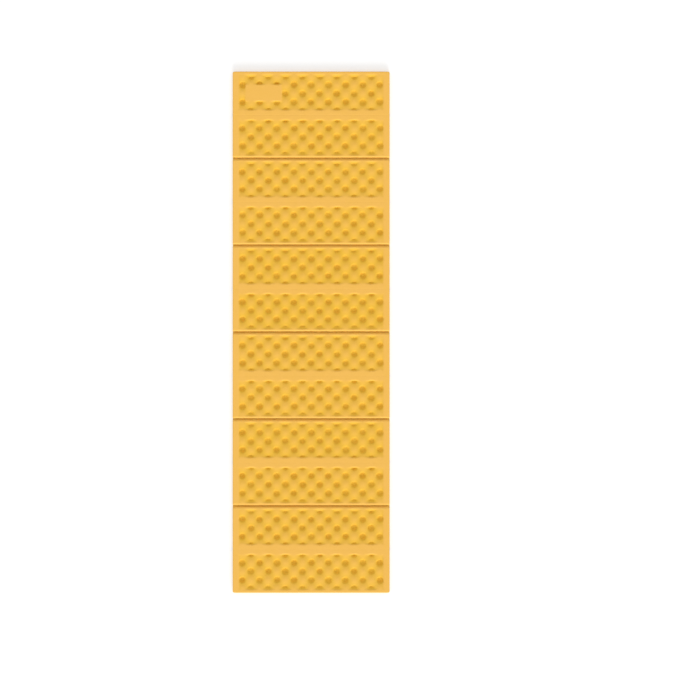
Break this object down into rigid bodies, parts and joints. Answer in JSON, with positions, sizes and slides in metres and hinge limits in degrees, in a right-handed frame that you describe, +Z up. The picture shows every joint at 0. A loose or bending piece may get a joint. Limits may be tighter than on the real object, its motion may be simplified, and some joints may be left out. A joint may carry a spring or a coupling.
{
  "type": "foam sleeping pad",
  "caption": "Folding closed-cell foam sleeping pad with egg-crate pits on both faces, a metallised underside and fan-fold creases.",
  "frame": {"origin": "centre of the pad's underside, lying open", "axes": "+X across the pad, +Y towards the head end, +Z up out of the foam face"},
  "size_m": [0.56, 1.86, 0.018],
  "materials": {
    "foam": "matte closed-cell foam",
    "film": "satin metallised film"
  },
  "bodies": {
    "panel_01": {"foam_panel_01": "foam", "film_panel_01": "film", "foam_hinge_01": "foam", "film_hinge_01": "film"},
    "panel_02": {"foam_panel_02": "foam", "film_panel_02": "film", "foam_hinge_02": "foam", "film_hinge_02": "film"},
    "panel_03": {"foam_panel_03": "foam", "film_panel_03": "film", "foam_hinge_03": "foam", "film_hinge_03": "film"},
    "panel_04": {"foam_panel_04": "foam", "film_panel_04": "film", "foam_hinge_04": "foam", "film_hinge_04": "film"},
    "panel_05": {"foam_panel_05": "foam", "film_panel_05": "film", "foam_hinge_05": "foam", "film_hinge_05": "film"},
    "panel_06": {"foam_panel_06": "foam", "film_panel_06": "film", "foam_hinge_06": "foam", "film_hinge_06": "film"},
    "panel_07": {"foam_panel_07": "foam", "film_panel_07": "film", "foam_hinge_07": "foam", "film_hinge_07": "film"},
    "panel_08": {"foam_panel_08": "foam", "film_panel_08": "film", "foam_hinge_08": "foam", "film_hinge_08": "film"},
    "panel_09": {"foam_panel_09": "foam", "film_panel_09": "film", "foam_hinge_09": "foam", "film_hinge_09": "film"},
    "panel_10": {"foam_panel_10": "foam", "film_panel_10": "film", "foam_hinge_10": "foam", "film_hinge_10": "film"},
    "panel_11": {"foam_panel_11": "foam", "film_panel_11": "film", "foam_hinge_11": "foam", "film_hinge_11": "film"},
    "panel_12": {"foam_panel_12": "foam", "film_panel_12": "film"}
  },
  "joints": [
    {"name": "fold_01", "type": "hinge", "parent": "panel_01", "child": "panel_02", "pos_m": [0, 0.775, 0.0183], "axis": [-1, 0, 0], "range_deg": [-10, 180], "deforming": ["foam_hinge_01", "film_hinge_01"]},
    {"name": "fold_02", "type": "hinge", "parent": "panel_02", "child": "panel_03", "pos_m": [0, 0.62, -0.0003], "axis": [1, 0, 0], "range_deg": [-10, 180], "deforming": ["foam_hinge_02", "film_hinge_02"]},
    {"name": "fold_03", "type": "hinge", "parent": "panel_03", "child": "panel_04", "pos_m": [0, 0.465, 0.0183], "axis": [-1, 0, 0], "range_deg": [-10, 180], "deforming": ["foam_hinge_03", "film_hinge_03"]},
    {"name": "fold_04", "type": "hinge", "parent": "panel_04", "child": "panel_05", "pos_m": [0, 0.31, -0.0003], "axis": [1, 0, 0], "range_deg": [-10, 180], "deforming": ["foam_hinge_04", "film_hinge_04"]},
    {"name": "fold_05", "type": "hinge", "parent": "panel_05", "child": "panel_06", "pos_m": [0, 0.155, 0.0183], "axis": [-1, 0, 0], "range_deg": [-10, 180], "deforming": ["foam_hinge_05", "film_hinge_05"]},
    {"name": "fold_06", "type": "hinge", "parent": "panel_06", "child": "panel_07", "pos_m": [0, 0, -0.0003], "axis": [1, 0, 0], "range_deg": [-10, 180], "deforming": ["foam_hinge_06", "film_hinge_06"]},
    {"name": "fold_07", "type": "hinge", "parent": "panel_07", "child": "panel_08", "pos_m": [0, -0.155, 0.0183], "axis": [-1, 0, 0], "range_deg": [-10, 180], "deforming": ["foam_hinge_07", "film_hinge_07"]},
    {"name": "fold_08", "type": "hinge", "parent": "panel_08", "child": "panel_09", "pos_m": [0, -0.31, -0.0003], "axis": [1, 0, 0], "range_deg": [-10, 180], "deforming": ["foam_hinge_08", "film_hinge_08"]},
    {"name": "fold_09", "type": "hinge", "parent": "panel_09", "child": "panel_10", "pos_m": [0, -0.465, 0.0183], "axis": [-1, 0, 0], "range_deg": [-10, 180], "deforming": ["foam_hinge_09", "film_hinge_09"]},
    {"name": "fold_10", "type": "hinge", "parent": "panel_10", "child": "panel_11", "pos_m": [0, -0.62, -0.0003], "axis": [1, 0, 0], "range_deg": [-10, 180], "deforming": ["foam_hinge_10", "film_hinge_10"]},
    {"name": "fold_11", "type": "hinge", "parent": "panel_11", "child": "panel_12", "pos_m": [0, -0.775, 0.0183], "axis": [-1, 0, 0], "range_deg": [-10, 180], "deforming": ["foam_hinge_11", "film_hinge_11"]}
  ]
}
